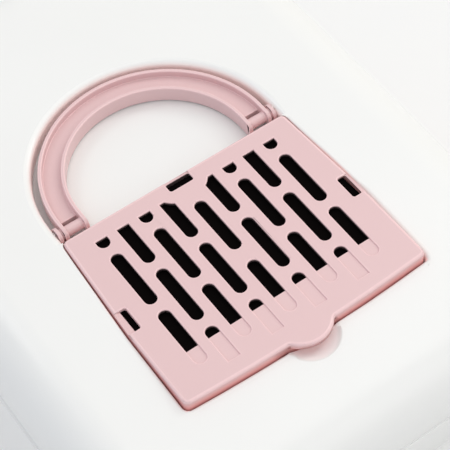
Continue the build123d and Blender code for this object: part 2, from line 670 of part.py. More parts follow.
# Filter pad, cut to the inside of the cover and lying towards its right side
with BuildPart() as carbon_filter:
    with BuildSketch(Plane.XY.offset(PLATE_BOTTOM - PAD_GAP)):
        draw_cover_outline(-COVER_SIDE - PAD_GAP)
        pad_left = -skirt_inner_x + GUSSET_REACH + PAD_GAP
        with Locations((pad_left, VENT_FRONT_Y + PAD_GAP)):
            Rectangle(COVER_FRONT_WIDTH, COVER_LENGTH, align=(Align.MIN, Align.MIN), mode=Mode.INTERSECT)
    extrude(amount=-PAD_THICKNESS)

# Door flap
flap_width = DOOR_WIDTH - 2 * FLAP_GAP
flap_height = FLAP_AXIS_Z - DOOR_BOTTOM - FLAP_SILL_GAP
with BuildPart() as door_flap:
    with BuildSketch(Plane.XZ.offset(FLAP_AXIS_FRONT)):
        with Locations((0, FLAP_AXIS_Z)):
            panel = Rectangle(flap_width, flap_height, align=(Align.CENTER, Align.MAX))
        fillet(panel.vertices().group_by(Axis.Y)[0], radius=DOOR_CORNER - FLAP_GAP)
    extrude(amount=FLAP_THICKNESS / 2, both=True)
    with BuildSketch(Plane.XZ.offset(FLAP_AXIS_FRONT)):
        with Locations((0, FLAP_AXIS_Z)):
            border = Rectangle(flap_width, flap_height, align=(Align.CENTER, Align.MAX))
        fillet(border.vertices().group_by(Axis.Y)[0], radius=DOOR_CORNER - FLAP_GAP)
        with Locations((0, FLAP_AXIS_Z - FLAP_BORDER)):
            Rectangle(
                flap_width - 2 * FLAP_BORDER,
                flap_height - 2 * FLAP_BORDER,
                align=(Align.CENTER, Align.MAX),
                mode=Mode.SUBTRACT,
            )
    extrude(amount=FLAP_THICKNESS / 2 + FLAP_BORDER_RISE)
    with BuildSketch(Plane.YZ):
        with Locations((-FLAP_AXIS_FRONT, FLAP_AXIS_Z)):
            RegularPolygon(FLAP_BARREL_RADIUS, ROUND_SIDES)
    extrude(amount=flap_width / 2, both=True)
    with BuildSketch(Plane.YZ):
        with Locations((-FLAP_AXIS_FRONT, FLAP_AXIS_Z)):
            RegularPolygon(FLAP_STUB_RADIUS, ROUND_SIDES)
    extrude(amount=DOOR_WIDTH / 2 + WALL - STUB_TIP_GAP, both=True)


def make_clip(side, place):
    """Build one side clip, drawn on the right and mirrored for the left."""
    lever_inner = flange_x + CLIP_STANDOFF
    lever_outer = lever_inner + CLIP_WALL
    hook_top = TRAY_HEIGHT - LIP_HEIGHT - RUNNING_GAP
    hook_bottom = hook_top - CLIP_HOOK_THICKNESS
    with BuildPart() as clip:
        with BuildSketch(Plane.XZ.offset(-place * CLIP_SPREAD / 2)):
            with Locations((clip_axis_x, clip_axis_z)):
                RegularPolygon(CLIP_BARREL_RADIUS, ROUND_SIDES)
            with Locations((lever_inner, hook_bottom)):
                Rectangle(CLIP_WALL, clip_axis_z - hook_bottom, align=(Align.MIN, Align.MIN))
            with Locations((lever_outer, hook_bottom)):
                Rectangle(
                    lever_outer - flange_x + CLIP_HOOK_INSET,
                    CLIP_HOOK_THICKNESS,
                    align=(Align.MAX, Align.MIN),
                )
            with BuildLine():
                Polyline(
                    (lever_inner, hook_bottom),
                    (lever_outer, hook_top),
                    (lever_outer + CLIP_GRIP_FLARE, hook_bottom - CLIP_GRIP_LENGTH),
                    (lever_inner + CLIP_GRIP_FLARE, hook_bottom - CLIP_GRIP_LENGTH),
                    close=True,
                )
            make_face()
        extrude(amount=CLIP_WIDTH / 2, both=True)
        with BuildSketch(Plane.XZ.offset(-place * CLIP_SPREAD / 2)):
            with Locations((clip_axis_x, clip_axis_z)):
                RegularPolygon(CLIP_PIN_RADIUS, ROUND_SIDES)
        extrude(amount=CLIP_WIDTH / 2 + RUNNING_GAP + EAR_THICKNESS, both=True)
        if side < 0:
            mirror(about=Plane.YZ, mode=Mode.REPLACE)
    return clip.part


pieces = {
    "base_tray": base_tray.part,
    "hood": hood.part,
    "vent_cover": vent_cover.part,
    "carbon_filter": carbon_filter.part,
    "carry_handle": carry_handle.part,
    "door_flap": door_flap.part,
    "side_clip_front_left": make_clip(-1, -1),
    "side_clip_front_right": make_clip(1, -1),
    "side_clip_rear_left": make_clip(-1, 1),
    "side_clip_rear_right": make_clip(1, 1),
}
for name, piece in pieces.items():
    piece.label = name
    export_step(piece, f"parts/{name}.step")
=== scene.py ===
import math

import bpy
import bmesh
from mathutils import Euler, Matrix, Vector
from mathutils.bvhtree import BVHTree


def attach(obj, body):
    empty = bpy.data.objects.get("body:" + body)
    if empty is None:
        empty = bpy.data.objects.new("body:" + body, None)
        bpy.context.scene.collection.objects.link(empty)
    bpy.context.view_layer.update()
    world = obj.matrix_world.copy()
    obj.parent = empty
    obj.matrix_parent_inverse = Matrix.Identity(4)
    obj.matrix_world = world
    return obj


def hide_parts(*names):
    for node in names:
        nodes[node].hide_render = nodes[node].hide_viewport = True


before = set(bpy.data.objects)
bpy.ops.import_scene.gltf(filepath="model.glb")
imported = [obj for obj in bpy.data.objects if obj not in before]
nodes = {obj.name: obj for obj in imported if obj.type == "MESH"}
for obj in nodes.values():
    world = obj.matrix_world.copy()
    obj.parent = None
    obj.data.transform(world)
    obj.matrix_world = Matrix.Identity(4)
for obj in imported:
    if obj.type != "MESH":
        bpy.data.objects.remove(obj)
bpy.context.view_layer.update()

MM = 0.001


def top_of(node_name):
    """Height of the highest point of a CAD node in millimetres, to a tenth."""
    return round(max(point.co.z for point in nodes[node_name].data.vertices) / MM, 1)


# Places on the roof that tones and edge rounds follow, in millimetres
ROOF_TOP = top_of("hood")
COVER_TOP = top_of("vent_cover")
RIM_INNER_X = 78.5
RIM_INNER_FRONT_Y = -135.0
WINDOW_MIDDLE_Y = -71.8
WINDOW_HALF_LENGTH = 8.5


# Node helpers
def add_node(tree, kind, **inputs):
    """Add a node and set its named inputs."""
    node = tree.nodes.new(kind)
    for name, value in inputs.items():
        node.inputs[name.replace("_", " ")].default_value = value
    return node


def math_node(tree, operation, *sources):
    """Add a math node that takes the sources, each a number or a socket, and return its result."""
    node = add_node(tree, "ShaderNodeMath")
    node.operation = operation
    for socket, source in zip(node.inputs, sources):
        if isinstance(source, float):
            socket.default_value = source
        else:
            tree.links.new(source, socket)
    return node.outputs["Value"]


def colour_mix(tree, **tones):
    """Add a colour mix, with its inputs A and B set to the given tones."""
    mix = add_node(tree, "ShaderNodeMix")
    mix.data_type = "RGBA"
    for socket_name, tone in tones.items():
        mix.inputs[socket_name].default_value = (*tone, 1)
    return mix


def place_group(tree, group, values):
    """Place a shader node group in a tree, with its own values."""
    node = tree.nodes.new("ShaderNodeGroup")
    node.node_tree = group
    for name, value in values.items():
        node.inputs[name].default_value = value
    return node


def new_group(name, outputs, inputs, kind="ShaderNodeTree"):
    """Start a node group with these sockets, and return it with its first and last node."""
    group = bpy.data.node_groups.new(name, kind)
    for socket_name, socket_type, value in inputs:
        socket = group.interface.new_socket(socket_name, in_out="INPUT", socket_type=socket_type)
        if value is not None:
            socket.default_value = value
    for socket_name, socket_type in outputs:
        group.interface.new_socket(socket_name, in_out="OUTPUT", socket_type=socket_type)
    return group, group.nodes.new("NodeGroupInput"), group.nodes.new("NodeGroupOutput")


# Fine moulded grain
def moulded_skin_group():
    """Fine moulded grain: a tone mask, a roughness value and a bumped normal."""
    group, entry, leave = new_group(
        "moulded_skin",
        (("Tone", "NodeSocketFloat"), ("Roughness", "NodeSocketFloat"), ("Normal", "NodeSocketVector")),
        (
            ("Roughness Low", "NodeSocketFloat", 0.3),
            ("Roughness High", "NodeSocketFloat", 0.42),
            ("Grain Size", "NodeSocketFloat", 1800.0),
            ("Grain Height", "NodeSocketFloat", 0.08),
        ),
    )
    place = add_node(group, "ShaderNodeTexCoord")
    cloud = add_node(group, "ShaderNodeTexNoise", Scale=9.0, Detail=3.0)
    grain = add_node(group, "ShaderNodeTexNoise", Detail=2.0)
    ripple = add_node(group, "ShaderNodeTexNoise", Scale=60.0, Detail=2.0)
    rough = add_node(group, "ShaderNodeMapRange", From_Min=0.3, From_Max=0.7)
    fine_bump = add_node(group, "ShaderNodeBump", Distance=0.1 * MM)
    wide_bump = add_node(group, "ShaderNodeBump", Strength=0.15, Distance=0.4 * MM)
    link = group.links.new
    for texture in (cloud, grain, ripple):
        link(place.outputs["Object"], texture.inputs["Vector"])
    link(entry.outputs["Grain Size"], grain.inputs["Scale"])
    link(ripple.outputs["Fac"], rough.inputs["Value"])
    link(entry.outputs["Roughness Low"], rough.inputs["To Min"])
    link(entry.outputs["Roughness High"], rough.inputs["To Max"])
    link(entry.outputs["Grain Height"], fine_bump.inputs["Strength"])
    link(grain.outputs["Fac"], fine_bump.inputs["Height"])
    link(ripple.outputs["Fac"], wide_bump.inputs["Height"])
    link(wide_bump.outputs["Normal"], fine_bump.inputs["Normal"])
    link(cloud.outputs["Fac"], leave.inputs["Tone"])
    link(rough.outputs["Result"], leave.inputs["Roughness"])
    link(fine_bump.outputs["Normal"], leave.inputs["Normal"])
    return group


MOULDED_SKIN = moulded_skin_group()

# Zones of the roof with a tone of their own, such as painted shade and painted pink reflected light
ZONE_VALUES = ("Middle X", "Half Width", "Middle Y", "Half Length", "Top", "Bottom", "Foot", "Share")


def zone_mask_group():
    """Masks that grow from Top down to Bottom and stop at Foot, inside and outside a box."""
    group, entry, leave = new_group(
        "zone_mask",
        (("Inside", "NodeSocketFloat"), ("Outside", "NodeSocketFloat")),
        tuple((name, "NodeSocketFloat", 0.0) for name in ZONE_VALUES),
    )
    place = add_node(group, "ShaderNodeTexCoord")
    parts = add_node(group, "ShaderNodeSeparateXYZ")
    depth = add_node(group, "ShaderNodeMapRange")
    value = entry.outputs
    link = group.links.new
    link(place.outputs["Object"], parts.inputs["Vector"])
    link(parts.outputs["Z"], depth.inputs["Value"])
    link(value["Top"], depth.inputs["From Min"])
    link(value["Bottom"], depth.inputs["From Max"])
    link(value["Share"], depth.inputs["To Max"])
    across = math_node(group, "COMPARE", parts.outputs["X"], value["Middle X"], value["Half Width"])
    along = math_node(group, "COMPARE", parts.outputs["Y"], value["Middle Y"], value["Half Length"])
    above_foot = math_node(group, "GREATER_THAN", parts.outputs["Z"], value["Foot"])
    band = math_node(group, "MULTIPLY", depth.outputs["Result"], above_foot)
    inside = math_node(group, "MULTIPLY", math_node(group, "MULTIPLY", across, along), band)
    link(inside, leave.inputs["Inside"])
    link(math_node(group, "SUBTRACT", band, inside), leave.inputs["Outside"])
    return group


ZONE_MASK = zone_mask_group()


def tone_zone(side, tone, across, along, top, bottom, foot=0.0, share=1.0):
    """A tone, the side of the mask that takes it, and the mask's values, from sizes in millimetres."""
    values = (
        sum(across) / 2 * MM,
        (across[1] - across[0]) / 2 * MM,
        sum(along) / 2 * MM,
        (along[1] - along[0]) / 2 * MM,
        top * MM,
        bottom * MM,
        foot * MM,
        share,
    )
    return side, tone, dict(zip(ZONE_VALUES, values))


# Painted shade: near black on the walls of the slots and of two windows of the vent cover, where they lie in
# shade
PAINTED_SHADE_TONE = (0.01, 0.008, 0.008)
PAINTED_SHADE_SHARE = 0.92
SLOT_PAINTED_SHADE = tone_zone(
    "Inside",
    PAINTED_SHADE_TONE,
    across=(-66, 66),
    along=(-108.5, -13.5),
    top=ROOF_TOP + 0.5,
    bottom=ROOF_TOP - 0.3,
    share=PAINTED_SHADE_SHARE,
)
RIGHT_WINDOW_PAINTED_SHADE = tone_zone(
    "Inside",
    PAINTED_SHADE_TONE,
    across=(70.5, 82.5),
    along=(WINDOW_MIDDLE_Y - WINDOW_HALF_LENGTH, WINDOW_MIDDLE_Y + WINDOW_HALF_LENGTH),
    top=ROOF_TOP - 0.2,
    bottom=ROOF_TOP - 0.7,
    share=PAINTED_SHADE_SHARE,
)
BACK_WINDOW_PAINTED_SHADE = tone_zone(
    "Inside",
    PAINTED_SHADE_TONE,
    across=(-WINDOW_HALF_LENGTH, WINDOW_HALF_LENGTH),
    along=(-13.5, -2.5),
    top=ROOF_TOP - 0.2,
    bottom=ROOF_TOP - 0.7,
    share=PAINTED_SHADE_SHARE,
)

# Painted light: a deeper pink low on the rim of the vent cover as painted shade and reflected pink light,
# painted pink reflected light on the walls of the white recesses near it, and a painted lighter finger dimple
RECESS_FOOT_Z = ROOF_TOP - 11
RIM_PAINTED_REFLECTION = tone_zone(
    "Outside",
    (0.90, 0.43, 0.41),
    across=(-RIM_INNER_X, RIM_INNER_X),
    along=(RIM_INNER_FRONT_Y, -5),
    top=ROOF_TOP + 0.3,
    bottom=ROOF_TOP - 4.5,
)
SEAT_PAINTED_REFLECTION = tone_zone(
    "Inside",
    (0.96, 0.80, 0.78),
    across=(-84.3, 84.3),
    along=(-137.5, -3),
    top=ROOF_TOP - 0.6,
    bottom=ROOF_TOP - 1.6,
    foot=RECESS_FOOT_Z,
)
POCKET_PAINTED_REFLECTION = tone_zone(
    "Inside",
    (0.98, 0.80, 0.77),
    across=(-81.5, 81.5),
    along=(-2.5, 92.5),
    top=ROOF_TOP - 0.6,
    bottom=ROOF_TOP - 2.5,
    foot=RECESS_FOOT_Z,
    share=0.9,
)
# Painted light: the finger dimple lighter than the rest of the white
DIMPLE_PAINTED_LIGHT = tone_zone(
    "Inside",
    (0.97, 0.93, 0.925),
    across=(-18.5, 18.5),
    along=(-157, -137),
    top=ROOF_TOP - 6.4,
    bottom=ROOF_TOP - 7.4,
    foot=ROOF_TOP - 20,
)


def paint_zone(tree, colour, zone):
    """Lay the tone of a zone over the colour that comes in, and return the new colour."""
    side, tone, values = zone
    mask = place_group(tree, ZONE_MASK, values)
    painted = colour_mix(tree, B=tone)
    tree.links.new(mask.outputs[side], painted.inputs["Factor"])
    tree.links.new(colour, painted.inputs["A"])
    return painted.outputs["Result"]


# Plastics
# Rounded edges get a lower roughness, and a tone scaled by each plastic's edge factor, which on the pink is a
# painted highlight
EDGE_ROUND_MARK = "edge_round_mark"
EDGE_ROUGHNESS_SHIFT = -0.08
PALEST_EDGE = 0.95
PLASTIC_IOR = 1.46
FROST_TRANSMISSION = 0.8


def moulded_plastic(name, dark, light, rough, painted_edge_light, specular=0.5, zones=()):
    """Moulded plastic between two close tones, with fine grain and smoother edges.

    rough holds the lowest and highest roughness, and the rounded edges get the light tone times the edge
    factor that follows it: a painted highlight where that is above one, a little darker where below.
    """
    material = bpy.data.materials.new(name)
    material.use_nodes = True
    tree = material.node_tree
    shader = tree.nodes["Principled BSDF"]
    skin = place_group(tree, MOULDED_SKIN, {"Roughness Low": rough[0], "Roughness High": rough[1]})
    tone = colour_mix(tree, A=dark, B=light)
    edge = add_node(tree, "ShaderNodeAttribute")
    edge.attribute_name = EDGE_ROUND_MARK
    # Painted highlight: the rounded edges take the light tone times the edge factor
    painted_edge_tone = colour_mix(tree, B=tuple(min(PALEST_EDGE, painted_edge_light * part) for part in light))
    link = tree.links.new
    link(skin.outputs["Tone"], tone.inputs["Factor"])
    link(tone.outputs["Result"], painted_edge_tone.inputs["A"])
    link(edge.outputs["Fac"], painted_edge_tone.inputs["Factor"])
    colour = painted_edge_tone.outputs["Result"]
    for zone in zones:
        colour = paint_zone(tree, colour, zone)
    roughness = math_node(
        tree, "MULTIPLY_ADD", edge.outputs["Fac"], EDGE_ROUGHNESS_SHIFT, skin.outputs["Roughness"]
    )
    link(colour, shader.inputs["Base Color"])
    link(roughness, shader.inputs["Roughness"])
    link(skin.outputs["Normal"], shader.inputs["Normal"])
    shader.inputs["IOR"].default_value = PLASTIC_IOR
    shader.inputs["Specular IOR Level"].default_value = specular
    return material


def white_plastic():
    """The white of the hood, with painted pink reflected light in its recesses and a painted lighter finger
    dimple.
    """
    return moulded_plastic(
        "hood_white_plastic",
        dark=(0.845, 0.845, 0.832),
        light=(0.875, 0.875, 0.865),
        rough=(0.3, 0.33),
        # Rounded edges a little darker than the faces
        painted_edge_light=0.985,
        zones=(SEAT_PAINTED_REFLECTION, POCKET_PAINTED_REFLECTION, DIMPLE_PAINTED_LIGHT),
    )


def pink_plastic(name, zones=()):
    """The pink of the tray and the trim."""
    return moulded_plastic(
        name,
        dark=(0.74, 0.516, 0.523),
        light=(0.77, 0.545, 0.551),
        rough=(0.28, 0.38),
        # Painted highlight: rounded edges lighter than the faces
        painted_edge_light=1.12,
        zones=zones,
    )


def carbon_foam():
    """The black of the filter pad and its grains, which hardly shines."""
    return moulded_plastic(
        "black_carbon_foam",
        dark=(0.001, 0.001, 0.001),
        light=(0.004, 0.003, 0.003),
        rough=(0.7, 0.9),
        painted_edge_light=1.0,
        specular=0.01,
    )


def frosted_plastic():
    """The see-through plastic of the door flap."""
    material = moulded_plastic(
        "frosted_flap_plastic",
        dark=(0.88, 0.91, 0.93),
        light=(0.92, 0.95, 0.97),
        rough=(0.38, 0.5),
        painted_edge_light=1.02,
    )
    shader = material.node_tree.nodes["Principled BSDF"]
    shader.inputs["Transmission Weight"].default_value = FROST_TRANSMISSION
    return material


WHITE_PLASTIC = white_plastic()
PINK_PLASTIC = pink_plastic("pink_trim_plastic")
# The vent cover's pink, with painted shade in its slots and windows and painted reflected pink low on its rim
VENT_PINK_PAINTED_SHADING = pink_plastic("vent_pink_plastic", (SLOT_PAINTED_SHADE, RIGHT_WINDOW_PAINTED_SHADE, BACK_WINDOW_PAINTED_SHADE, RIM_PAINTED_REFLECTION))
BLACK_FOAM = carbon_foam()
FROSTED = frosted_plastic()


# Mesh helpers
def add_object(name, data):
    """Put a mesh, light or camera in the scene as a named object."""
    thing = bpy.data.objects.new(name, data)
    bpy.context.scene.collection.objects.link(thing)
    return thing


def finished_mesh(name, shape, *materials):
    """Turn a shape into a mesh with these materials."""
    mesh = bpy.data.meshes.new(name)
    shape.to_mesh(mesh)
    shape.free()
    for material in materials:
        mesh.materials.append(material)
    return mesh


def settle(piece):
    """Turn the piece and its modifiers into one plain mesh."""
    depsgraph = bpy.context.evaluated_depsgraph_get()
    finished = bpy.data.meshes.new_from_object(piece.evaluated_get(depsgraph))
    piece.modifiers.clear()
    piece.data = finished


# Arcs in place of the flats of the twelve-sided small rounds
FLAT_TURN = math.radians(30)
TURN_TOLERANCE = FLAT_TURN / 12
LONGEST_CHORD = 4 * MM
CHORD_TOLERANCE = 0.02
ARC_PARTS = 3
SAME_POINT = 1e-9


def is_arc_turn(edge):
    """True where the edge turns as between two flats of a round, or as from a flat to a straight wall."""
    if len(edge.link_faces) != 2:
        return False
    turn = edge.calc_face_angle()
    return min(abs(turn - FLAT_TURN), abs(turn - FLAT_TURN / 2)) < TURN_TOLERANCE


def are_chords(first, second):
    """True for two short edges of about one length."""
    length = first.calc_length()
    return length < LONGEST_CHORD and abs(length - second.calc_length()) < CHORD_TOLERANCE * length


def find_flats(shape):
    """Return the narrow flats of the rounds, each as its two chords and the way it bends."""
    flats = []
    for face in shape.faces:
        if len(face.edges) != 4:
            continue
        ring = [loop.edge for loop in face.loops]
        for sides, chords in ((ring[0::2], ring[1::2]), (ring[1::2], ring[0::2])):
            if are_chords(*chords) and all(is_arc_turn(side) for side in sides):
                way = face.normal if sides[0].is_convex else -face.normal
                flats.append((chords, way.copy()))
    return flats


def bend_chord(chord, way):
    """Bend a chord into an arc, and return the new points on it."""
    start, end = (point.co.copy() for point in chord.verts)
    half = (end - start).length / 2
    radius = half / math.sin(FLAT_TURN / 2)
    near = chord.verts[0]
    rest = chord
    points = []
    for part in range(1, ARC_PARTS):
        share = part / ARC_PARTS
        near = bmesh.utils.edge_split(rest, near, 0.5)[1]
        along = (2 * share - 1) * half
        rise = math.sqrt(radius**2 - along**2) - radius * math.cos(FLAT_TURN / 2)
        near.co = start.lerp(end, share) + way * rise
        points.append(near)
        rest = next(edge for edge in near.link_edges if (edge.other_vert(near).co - end).length < SAME_POINT)
    return points


def bend_flats(shape):
    """Bend the flats of the rounds into arcs, and join the new points of their chords."""
    bent = {}
    flats = find_flats(shape)
    for chords, way in flats:
        for chord in chords:
            if chord not in bent:
                bent[chord] = bend_chord(chord, way)
    for chords, _ in flats:
        one, other = (bent[chord] for chord in chords)
        if (one[0].co - other[0].co).length > (one[0].co - other[-1].co).length:
            other = other[::-1]
        for point, partner in zip(one, other):
            shared = set(point.link_faces) & set(partner.link_faces)
            if shared:
                bmesh.utils.face_split(shared.pop(), point, partner)


# Soft moulded edges
MERGE_REACH = 0.01 * MM
FLAT_JOIN_TURN = math.radians(0.4)
SHARP_TURN = math.radians(32)
SHADING_TURN = math.radians(38)
SPIKE_SHARE = 0.6


def clean_shape(node_name):
    """The shape of a CAD node, with flat parts joined and small rounds bent."""
    shape = bmesh.new()
    shape.from_mesh(nodes[node_name].data)
    bmesh.ops.remove_doubles(shape, verts=shape.verts, dist=MERGE_REACH)
    bmesh.ops.dissolve_limit(
        shape,
        angle_limit=FLAT_JOIN_TURN,
        verts=shape.verts,
        edges=shape.edges,
        use_dissolve_boundaries=False,
    )
    bend_flats(shape)
    shape.normal_update()
    return shape


def full_share(place):
    """The standard round, for every place."""
    return 1.0


def weigh_edges(shape, share):
    """Give each sharp edge its share of the standard round, from its middle in millimetres."""
    weight = shape.edges.layers.float.new("bevel_weight_edge")
    for edge in shape.edges:
        if len(edge.link_faces) == 2 and edge.calc_face_angle() > SHARP_TURN:
            edge[weight] = share((edge.verts[0].co + edge.verts[1].co) / (2 * MM))


def round_edges(piece, width, segments):
    """Round the weighted edges, and give the rounds the second material index."""
    soften = piece.modifiers.new("edge_round", "BEVEL")
    soften.limit_method = "WEIGHT"
    soften.width = width
    soften.segments = segments
    soften.use_clamp_overlap = False
    soften.material = 1
    settle(piece)


def pull_in_spikes(mesh, surface, reach):
    """Put back on the surface any point that an edge round threw off it."""
    for point in mesh.vertices:
        place, _, _, distance = surface.find_nearest(point.co)
        if distance > reach:
            point.co = place


def mark_edge_rounds(mesh):
    """Turn the second material index into a face attribute that the plastics read."""
    round_mark = mesh.attributes.new(EDGE_ROUND_MARK, "FLOAT", "FACE")
    for face, mark in zip(mesh.polygons, round_mark.data):
        mark.value = float(face.material_index)
        face.material_index = 0


def shade_evenly(piece):
    """Let the large faces rule the shading, and keep what turns past the shading angle sharp."""
    piece.data.set_sharp_from_angle(angle=SHADING_TURN)
    even = piece.modifiers.new("even_shading", "WEIGHTED_NORMAL")
    even.keep_sharp = True
    settle(piece)


def moulded_copy(node_name, name, body, material, round_mm, share=full_share, segments=2):
    """A copy of a CAD node with soft moulded edges, which stands for it.

    round_mm is the standard edge round, and share gives the part of it that an edge at a place gets.
    """
    shape = clean_shape(node_name)
    surface = BVHTree.FromBMesh(shape)
    weigh_edges(shape, share)
    for face in shape.faces:
        face.smooth = True
    piece = add_object(name, finished_mesh(name, shape, material, material))
    round_edges(piece, round_mm * MM, segments)
    pull_in_spikes(piece.data, surface, SPIKE_SHARE * round_mm * MM)
    mark_edge_rounds(piece.data)
    shade_evenly(piece)
    piece.data.materials.clear()
    piece.data.materials.append(material)
    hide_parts(node_name)
    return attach(piece, body)


def within(value, span):
    """True for a value between the two ends of a span."""
    return span[0] < value < span[1]


# Hood, with places on its roof in millimetres, those across counted from the middle to both sides
TOP_EDGE_Z = ROOF_TOP - 0.2
SEAT_CORNER_X = 78
SEAT_CORNER_Y = (-7, -3)
SEAT_CORNER_Z = ROOF_TOP - 1
POCKET_HALF_WIDTH = 84
POCKET_Y = (-2, 96)
POCKET_BEVEL_Z = ROOF_TOP - 3.2
SEAT_SIDE_X = (79, 86)
SEAT_SIDE_Y = (-139, -20)
SEAT_FRONT_X = (21, 86)
SEAT_FRONT_Y = (-142, -136)
SEAT_EDGE_Z = ROOF_TOP - 7
WIDEST_ROUND_END_Y = -65
WIDE_ROUND_END_Y = -45

# Shares of the hood's standard round
SEAT_ROUND = 0.8
SEAT_WIDEST_ROUND = 1.5
SEAT_WIDE_ROUND = 1.15
POCKET_RIM_ROUND = 1.0
POCKET_BEVEL_ROUND = 0.5
NARROW_ROUND = 0.2


def seat_side_share(place):
    """The usual round at the left of the seat, and at its right a wide one that narrows to the back."""
    if place.x < 0 or place.y > WIDE_ROUND_END_Y:
        return SEAT_ROUND
    return SEAT_WIDEST_ROUND if place.y < WIDEST_ROUND_END_Y else SEAT_WIDE_ROUND


def hood_edge_share(place):
    """Rounds at the handle's pocket and the cover's seat, none at its tiny rear corners, else narrow ones."""
    off_middle = abs(place.x)
    if off_middle > SEAT_CORNER_X and within(place.y, SEAT_CORNER_Y) and place.z > SEAT_CORNER_Z:
        return 0.0
    if off_middle < POCKET_HALF_WIDTH and within(place.y, POCKET_Y):
        if place.z > TOP_EDGE_Z:
            return POCKET_RIM_ROUND
        if place.z > POCKET_BEVEL_Z:
            return POCKET_BEVEL_ROUND
    if place.z > SEAT_EDGE_Z:
        if within(off_middle, SEAT_SIDE_X) and within(place.y, SEAT_SIDE_Y):
            return seat_side_share(place)
        if within(off_middle, SEAT_FRONT_X) and within(place.y, SEAT_FRONT_Y):
            return SEAT_ROUND
    return NARROW_ROUND


moulded_copy(
    "hood", "hood_shell", "box", WHITE_PLASTIC, round_mm=2.3, share=hood_edge_share, segments=4
)

# Tray
moulded_copy("base_tray", "tray_pan", "box", PINK_PLASTIC, round_mm=0.5)

# Vent cover, with places in millimetres
COVER_TOP_EDGE_Z = COVER_TOP - 0.05
BEVEL_FOOT_Z = (ROOF_TOP - 0.1, ROOF_TOP + 0.1)
BEVEL_FOOT_ROUND = 0.6
RIM_INNER_BACK_Y = -4.5
WINDOW_GUARD = 10
SIDE_WINDOW_X = 70
BACK_WINDOW_Y = -14


def is_at_window(place):
    """True for places near one of the three windows in the edge of the vent cover."""
    at_side = abs(place.x) > SIDE_WINDOW_X and abs(place.y - WINDOW_MIDDLE_Y) < WINDOW_GUARD
    at_back = abs(place.x) < WINDOW_GUARD and place.y > BACK_WINDOW_Y
    return at_side or at_back


def is_on_cover_rim(place):
    """True for places near the outline of the vent cover."""
    return abs(place.x) > RIM_INNER_X or place.y < RIM_INNER_FRONT_Y or place.y > RIM_INNER_BACK_Y


def cover_edge_share(place):
    """Rounds on the upper edges, and on the foot of the outer bevel away from the windows."""
    if place.z > COVER_TOP_EDGE_Z:
        return 1.0
    if within(place.z, BEVEL_FOOT_Z) and is_on_cover_rim(place) and not is_at_window(place):
        return BEVEL_FOOT_ROUND
    return 0.0


moulded_copy(
    "vent_cover",
    "vent_plate",
    "cover",
    VENT_PINK_PAINTED_SHADING,
    round_mm=0.8,
    share=cover_edge_share,
    segments=4,
)


# Carry handle
def handle_edge_share(place):
    """Full rounds on the upper edges, half as wide elsewhere."""
    return 1.0 if place.z > TOP_EDGE_Z else 0.5


moulded_copy(
    "carry_handle",
    "handle_bow",
    "handle",
    PINK_PLASTIC,
    round_mm=0.8,
    share=handle_edge_share,
    segments=3,
)

# Door flap
moulded_copy("door_flap", "flap_panel", "flap", FROSTED, round_mm=0.3)

# Filter pad, with carbon grains close under its upper face
GRAIN_VALUES = {"Density": 330000.0, "Grain Radius": 0.9 * MM, "Seed": 7}
SMALLEST_GRAIN = 0.6
UPWARD = 0.9
PAD_SINK_MM = 0.7


def carbon_grain_group(material):
    """Nodes that scatter small grains over upward faces, sunk by their radius so that none stands above."""
    tree, entry, leave = new_group(
        "carbon_grains",
        (("Geometry", "NodeSocketGeometry"),),
        (
            ("Geometry", "NodeSocketGeometry", None),
            ("Density", "NodeSocketFloat", GRAIN_VALUES["Density"]),
            ("Grain Radius", "NodeSocketFloat", GRAIN_VALUES["Grain Radius"]),
            ("Seed", "NodeSocketInt", GRAIN_VALUES["Seed"]),
        ),
        kind="GeometryNodeTree",
    )
    normal = add_node(tree, "GeometryNodeInputNormal")
    parts = add_node(tree, "ShaderNodeSeparateXYZ")
    upward = add_node(tree, "FunctionNodeCompare", B=UPWARD)
    scatter = add_node(tree, "GeometryNodeDistributePointsOnFaces")
    grain = add_node(tree, "GeometryNodeMeshIcoSphere", Subdivisions=1)
    size = add_node(tree, "FunctionNodeRandomValue")
    size.data_type = "FLOAT"
    size.inputs["Min"].default_value = SMALLEST_GRAIN
    turn = add_node(tree, "FunctionNodeRandomValue")
    turn.data_type = "FLOAT_VECTOR"
    turn.inputs["Max"].default_value = (math.tau, math.tau, math.tau)
    sink = add_node(tree, "GeometryNodeSetPosition")
    down = add_node(tree, "ShaderNodeVectorMath")
    down.operation = "SCALE"
    down.inputs[0].default_value = (0.0, 0.0, -1.0)
    spread = add_node(tree, "GeometryNodeInstanceOnPoints")
    join = add_node(tree, "GeometryNodeJoinGeometry")
    real = add_node(tree, "GeometryNodeRealizeInstances")
    paint = add_node(tree, "GeometryNodeSetMaterial", Material=material)
    link = tree.links.new
    link(normal.outputs["Normal"], parts.inputs["Vector"])
    link(parts.outputs["Z"], upward.inputs["A"])
    link(entry.outputs["Geometry"], scatter.inputs["Mesh"])
    link(upward.outputs["Result"], scatter.inputs["Selection"])
    link(entry.outputs["Density"], scatter.inputs["Density"])
    link(entry.outputs["Seed"], scatter.inputs["Seed"])
    link(scatter.outputs["Points"], sink.inputs["Geometry"])
    link(entry.outputs["Grain Radius"], down.inputs["Scale"])
    link(down.outputs["Vector"], sink.inputs["Offset"])
    link(entry.outputs["Grain Radius"], grain.inputs["Radius"])
    link(sink.outputs["Geometry"], spread.inputs["Points"])
    link(grain.outputs["Mesh"], spread.inputs["Instance"])
    link(size.outputs["Value"], spread.inputs["Scale"])
    link(turn.outputs["Value"], spread.inputs["Rotation"])
    link(entry.outputs["Geometry"], join.inputs["Geometry"])
    link(spread.outputs["Instances"], join.inputs["Geometry"])
    link(join.outputs["Geometry"], real.inputs["Geometry"])
    link(real.outputs["Geometry"], paint.inputs["Geometry"])
    link(paint.outputs["Geometry"], leave.inputs["Geometry"])
    return tree


